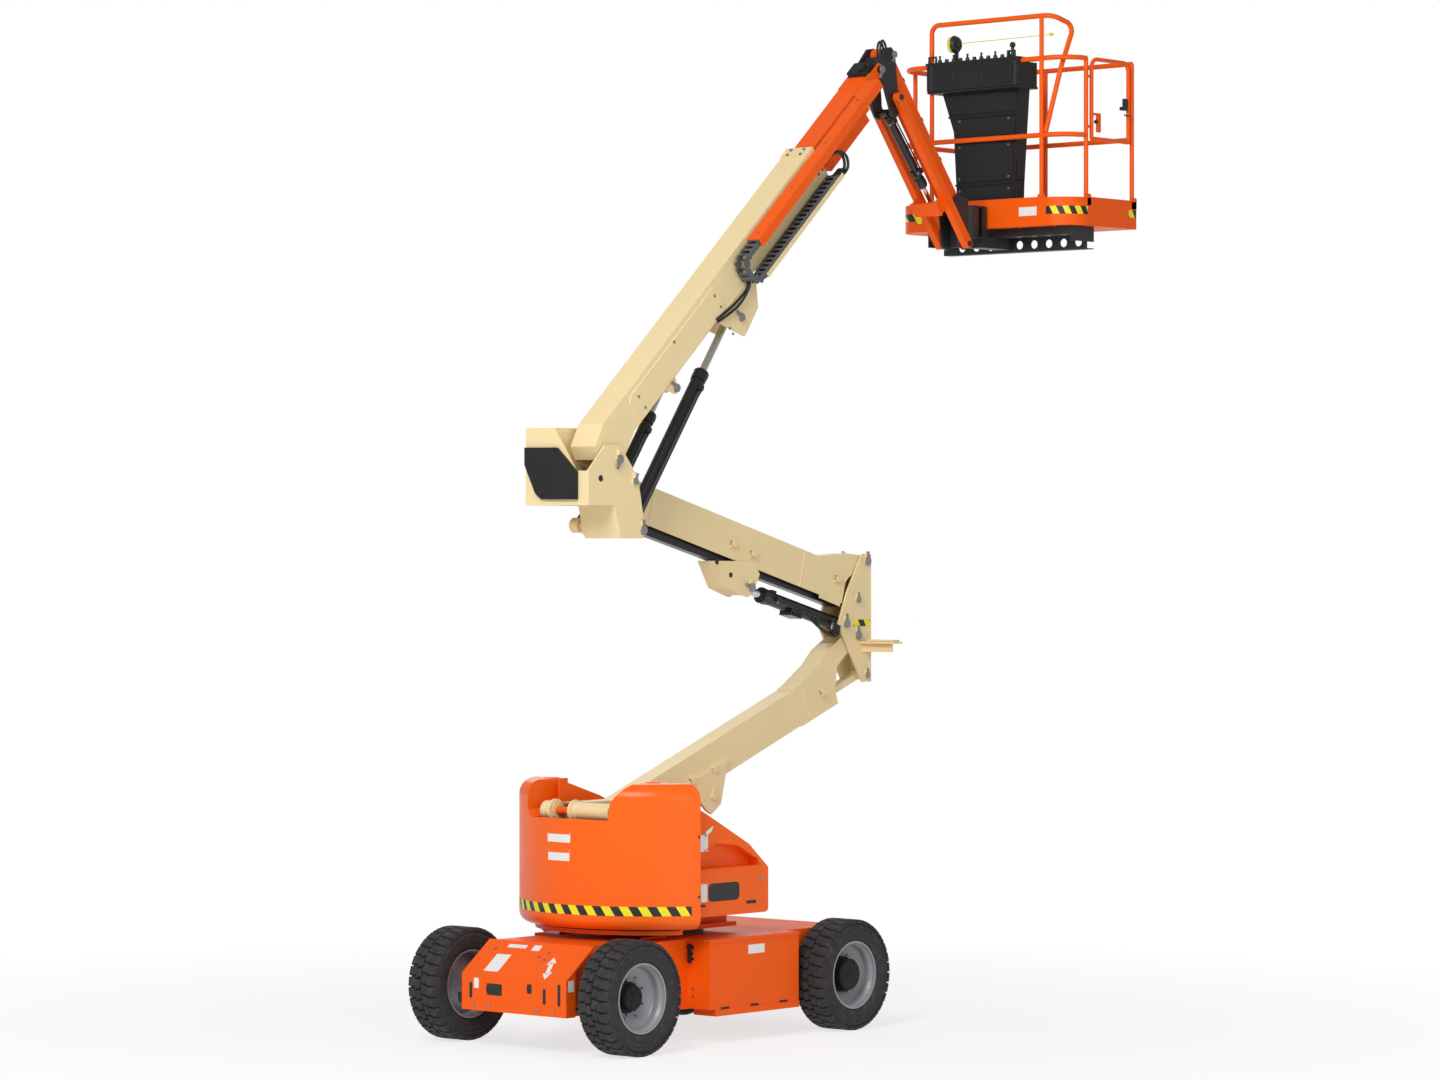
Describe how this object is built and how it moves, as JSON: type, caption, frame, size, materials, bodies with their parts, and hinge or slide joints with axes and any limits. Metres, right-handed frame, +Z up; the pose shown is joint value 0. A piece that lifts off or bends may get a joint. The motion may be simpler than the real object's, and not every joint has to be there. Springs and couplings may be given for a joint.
{
  "type": "articulating boom lift",
  "caption": "Self-propelled aerial work platform: wheeled chassis, swinging turntable, parallelogram tower, telescopic boom, jib and railed platform.",
  "frame": {"origin": "the point on the ground under the turntable's swing axis", "axes": "+Z up, +X towards the drive wheels and the platform, +Y to the machine's left"},
  "size_m": [5.324, 1.7286, 6.689],
  "materials": {
    "orange_paint": "semi_gloss",
    "cream_paint": "semi_gloss",
    "black_paint": "satin",
    "cylinder_paint": "satin",
    "rod_chrome": "polished",
    "tyre_rubber": "matte",
    "moulded_cover": "satin",
    "chain_plastic": "matte",
    "console_plastic": "matte",
    "cast_weight": "matte",
    "rim_paint": "semi_gloss"
  },
  "bodies": {
    "chassis": {"chassis_frame": "orange_paint", "battery_box_left": "orange_paint", "battery_box_right": "orange_paint", "steer_axle": "black_paint", "drive_axle": "black_paint", "swing_bearing": "black_paint"},
    "knuckle_left": {"knuckle_left": "black_paint"},
    "knuckle_right": {"knuckle_right": "black_paint"},
    "tie_rod": {"tie_rod": "black_paint"},
    "wheel_steer_left": {"tyre_steer_left": "tyre_rubber", "rim_steer_left": "rim_paint"},
    "wheel_steer_right": {"tyre_steer_right": "tyre_rubber", "rim_steer_right": "rim_paint"},
    "wheel_drive_left": {"tyre_drive_left": "tyre_rubber", "rim_drive_left": "rim_paint"},
    "wheel_drive_right": {"tyre_drive_right": "tyre_rubber", "rim_drive_right": "rim_paint"},
    "turntable": {"turntable_frame": "orange_paint", "tail_shell": "moulded_cover", "counterweight": "cast_weight"},
    "hood_left": {"side_hood_left": "moulded_cover"},
    "hood_right": {"side_hood_right": "moulded_cover"},
    "lower_tower": {"lower_tower_boom": "cream_paint"},
    "lower_link": {"lower_tower_link": "cream_paint"},
    "mid_upright": {"mid_upright": "cream_paint"},
    "upper_tower": {"upper_tower_boom": "cream_paint"},
    "upper_link": {"upper_tower_link": "black_paint"},
    "upper_upright": {"upper_upright": "cream_paint"},
    "main_boom": {"main_boom": "cream_paint", "chain_base": "chain_plastic"},
    "fly_boom": {"fly_boom": "orange_paint", "chain_run": "chain_plastic"},
    "jib_bracket": {"jib_bracket": "black_paint"},
    "jib_upper": {"jib_upper_tube": "orange_paint"},
    "jib_lower": {"jib_lower_tubes": "orange_paint"},
    "rotator": {"rotator_bracket": "black_paint"},
    "platform": {"platform_support": "black_paint", "platform_floor": "orange_paint", "platform_rails": "orange_paint", "control_console": "console_plastic"},
    "gate": {"platform_gate": "orange_paint"},
    "lower_lift_barrel": {"lower_lift_barrel": "cylinder_paint"},
    "lower_lift_rod": {"lower_lift_rod": "rod_chrome"},
    "upper_lift_barrel": {"upper_lift_barrel": "cylinder_paint"},
    "upper_lift_rod": {"upper_lift_rod": "rod_chrome"},
    "main_lift_barrel": {"main_lift_barrel": "cylinder_paint"},
    "main_lift_rod": {"main_lift_rod": "rod_chrome"},
    "level_barrel": {"level_barrel": "cylinder_paint"},
    "level_rod": {"level_rod": "rod_chrome"},
    "jib_barrel": {"jib_barrel": "cylinder_paint"},
    "jib_rod": {"jib_rod": "rod_chrome"}
  },
  "joints": [
    {"name": "steer_left", "type": "hinge", "parent": "chassis", "child": "knuckle_left", "pos_m": [-1.01, 0.56, 0.354], "axis": [0, 0, 1], "range_deg": [-30, 30]},
    {"name": "steer_right", "type": "hinge", "parent": "chassis", "child": "knuckle_right", "pos_m": [-1.01, -0.56, 0.354], "axis": [0, 0, 1], "range_deg": [-30, 30]},
    {"name": "tie_rod_shift", "type": "slide", "parent": "chassis", "child": "tie_rod", "axis": [0, 1, 0], "range_m": [-0.0786, 0.0786]},
    {"name": "wheel_steer_left_spin", "type": "hinge", "parent": "knuckle_left", "child": "wheel_steer_left", "pos_m": [-1.01, 0.718, 0.354], "axis": [0, 1, 0], "continuous": true},
    {"name": "wheel_steer_right_spin", "type": "hinge", "parent": "knuckle_right", "child": "wheel_steer_right", "pos_m": [-1.01, -0.718, 0.354], "axis": [0, 1, 0], "continuous": true},
    {"name": "wheel_drive_left_spin", "type": "hinge", "parent": "chassis", "child": "wheel_drive_left", "pos_m": [1.01, 0.718, 0.354], "axis": [0, 1, 0], "continuous": true},
    {"name": "wheel_drive_right_spin", "type": "hinge", "parent": "chassis", "child": "wheel_drive_right", "pos_m": [1.01, -0.718, 0.354], "axis": [0, 1, 0], "continuous": true},
    {"name": "swing", "type": "hinge", "parent": "chassis", "child": "turntable", "pos_m": [0, 0, 0.69], "axis": [0, 0, 1], "range_deg": [-177.5, 177.5]},
    {"name": "hood_left_open", "type": "hinge", "parent": "turntable", "child": "hood_left", "pos_m": [0.325, 0.352, 0.85], "axis": [0, 0, -1], "range_deg": [0, 75]},
    {"name": "hood_right_open", "type": "hinge", "parent": "turntable", "child": "hood_right", "pos_m": [0.325, -0.352, 0.85], "axis": [0, 0, 1], "range_deg": [0, 75]},
    {"name": "tower_lift", "type": "hinge", "parent": "turntable", "child": "lower_tower", "pos_m": [-0.683, 0.12, 1.44], "axis": [0, -1, 0], "range_deg": [-17.2, 45]},
    {"name": "lower_link_turn", "type": "hinge", "parent": "turntable", "child": "lower_link", "pos_m": [-0.588, 0.12, 1.172], "axis": [0, -1, 0], "range_deg": [-17.2, 45]},
    {"name": "mid_upright_level", "type": "hinge", "parent": "lower_tower", "child": "mid_upright", "pos_m": [2.067, 0.12, 2.49], "axis": [0, 1, 0], "range_deg": [-17.2, 45]},
    {"name": "upper_tower_lift", "type": "hinge", "parent": "mid_upright", "child": "upper_tower", "pos_m": [2.166, 0.12, 2.984], "axis": [0, 1, 0], "range_deg": [-17.2, 45]},
    {"name": "upper_link_turn", "type": "hinge", "parent": "mid_upright", "child": "upper_link", "pos_m": [2.067, 0.12, 2.727], "axis": [0, 1, 0], "range_deg": [-17.2, 45]},
    {"name": "upper_upright_level", "type": "hinge", "parent": "upper_tower", "child": "upper_upright", "pos_m": [-0.475, 0.12, 3.475], "axis": [0, -1, 0], "range_deg": [-17.2, 45]},
    {"name": "main_lift", "type": "hinge", "parent": "upper_upright", "child": "main_boom", "pos_m": [-0.62, -0.135, 3.625], "axis": [0, -1, 0], "range_deg": [-45.6, 22]},
    {"name": "telescope", "type": "slide", "parent": "main_boom", "child": "fly_boom", "axis": [0.7385, 0, 0.6743], "range_m": [0, 1.75]},
    {"name": "jib_bracket_level", "type": "hinge", "parent": "fly_boom", "child": "jib_bracket", "pos_m": [1.99, -0.135, 6.24], "axis": [0, 1, 0], "range_deg": [-45.6, 22]},
    {"name": "jib_lift", "type": "hinge", "parent": "jib_bracket", "child": "jib_lower", "pos_m": [2.165, -0.135, 6.068], "axis": [0, -1, 0], "range_deg": [-8.2, 112]},
    {"name": "jib_upper_turn", "type": "hinge", "parent": "jib_bracket", "child": "jib_upper", "pos_m": [2.12, -0.135, 6.35], "axis": [0, -1, 0], "range_deg": [-8.2, 112]},
    {"name": "rotator_level", "type": "hinge", "parent": "jib_lower", "child": "rotator", "pos_m": [2.902, -0.135, 5.131], "axis": [0, 1, 0], "range_deg": [-8.2, 112]},
    {"name": "platform_rotate", "type": "hinge", "parent": "rotator", "child": "platform", "pos_m": [3.045, -0.135, 5.29], "axis": [0, 0, 1], "range_deg": [-90, 90]},
    {"name": "gate_open", "type": "hinge", "parent": "platform", "child": "gate", "pos_m": [3.412, -0.8727, 6.1], "axis": [0, 0, 1], "range_deg": [0, 85]},
    {"name": "lower_lift_swing", "type": "hinge", "parent": "turntable", "child": "lower_lift_barrel", "pos_m": [-0.42, 0.12, 0.83], "axis": [0, -1, 0], "range_deg": [-14.78, 38.58]},
    {"name": "lower_lift_stroke", "type": "slide", "parent": "lower_lift_barrel", "child": "lower_lift_rod", "axis": [0.8492, 0, 0.528], "range_m": [-0.181, 0.4728]},
    {"name": "upper_lift_swing", "type": "hinge", "parent": "mid_upright", "child": "upper_lift_barrel", "pos_m": [1.945, 0.12, 2.569], "axis": [0, 1, 0], "range_deg": [-17.52, 45.75]},
    {"name": "upper_lift_stroke", "type": "slide", "parent": "upper_lift_barrel", "child": "upper_lift_rod", "axis": [-0.9681, 0, 0.2506], "range_m": [-0.1365, 0.3562]},
    {"name": "main_lift_swing", "type": "hinge", "parent": "upper_upright", "child": "main_lift_barrel", "pos_m": [-0.4, -0.135, 3.187], "axis": [0, -1, 0], "range_deg": [-42.06, 20.32]},
    {"name": "main_lift_stroke", "type": "slide", "parent": "main_lift_barrel", "child": "main_lift_rod", "axis": [0.5786, 0, 0.8156], "range_m": [-0.3564, 0.1722]},
    {"name": "level_swing", "type": "hinge", "parent": "upper_upright", "child": "level_barrel", "pos_m": [-0.475, -0.135, 3.488], "axis": [0, -1, 0], "range_deg": [-47.19, 22.79]},
    {"name": "level_stroke", "type": "slide", "parent": "level_barrel", "child": "level_rod", "axis": [0.576, 0, 0.8175], "range_m": [-0.1521, 0.0736]},
    {"name": "jib_swing", "type": "hinge", "parent": "jib_bracket", "child": "jib_barrel", "pos_m": [2.175, -0.135, 5.968], "axis": [0, -1, 0], "range_deg": [-8.37, 113.65]},
    {"name": "jib_stroke", "type": "slide", "parent": "jib_barrel", "child": "jib_rod", "axis": [0.6476, 0, -0.7619], "range_m": [-0.0128, 0.1687]}
  ],
  "couplings": [
    {"joint": "steer_right", "follows": "steer_left", "ratio": 1},
    {"joint": "tie_rod_shift", "follows": "steer_left", "m_per_rad": -0.15},
    {"joint": "lower_link_turn", "follows": "tower_lift", "ratio": 1},
    {"joint": "mid_upright_level", "follows": "tower_lift", "ratio": 1},
    {"joint": "upper_tower_lift", "follows": "tower_lift", "ratio": 1},
    {"joint": "upper_link_turn", "follows": "tower_lift", "ratio": 1},
    {"joint": "upper_upright_level", "follows": "tower_lift", "ratio": 1},
    {"joint": "jib_bracket_level", "follows": "main_lift", "ratio": 1},
    {"joint": "jib_upper_turn", "follows": "jib_lift", "ratio": 1},
    {"joint": "rotator_level", "follows": "jib_lift", "ratio": 1},
    {"joint": "lower_lift_swing", "follows": "tower_lift", "ratio": 0.8563},
    {"joint": "lower_lift_stroke", "follows": "tower_lift", "m_per_rad": 0.60141},
    {"joint": "upper_lift_swing", "follows": "tower_lift", "ratio": 1.0156},
    {"joint": "upper_lift_stroke", "follows": "tower_lift", "m_per_rad": 0.4529},
    {"joint": "main_lift_swing", "follows": "main_lift", "ratio": 0.9212},
    {"joint": "main_lift_stroke", "follows": "main_lift", "m_per_rad": 0.44724},
    {"joint": "level_swing", "follows": "main_lift", "ratio": 1.0337},
    {"joint": "level_stroke", "follows": "main_lift", "m_per_rad": 0.19049},
    {"joint": "jib_swing", "follows": "jib_lift", "ratio": 1.0143},
    {"joint": "jib_stroke", "follows": "jib_lift", "m_per_rad": 0.08604}
  ]
}
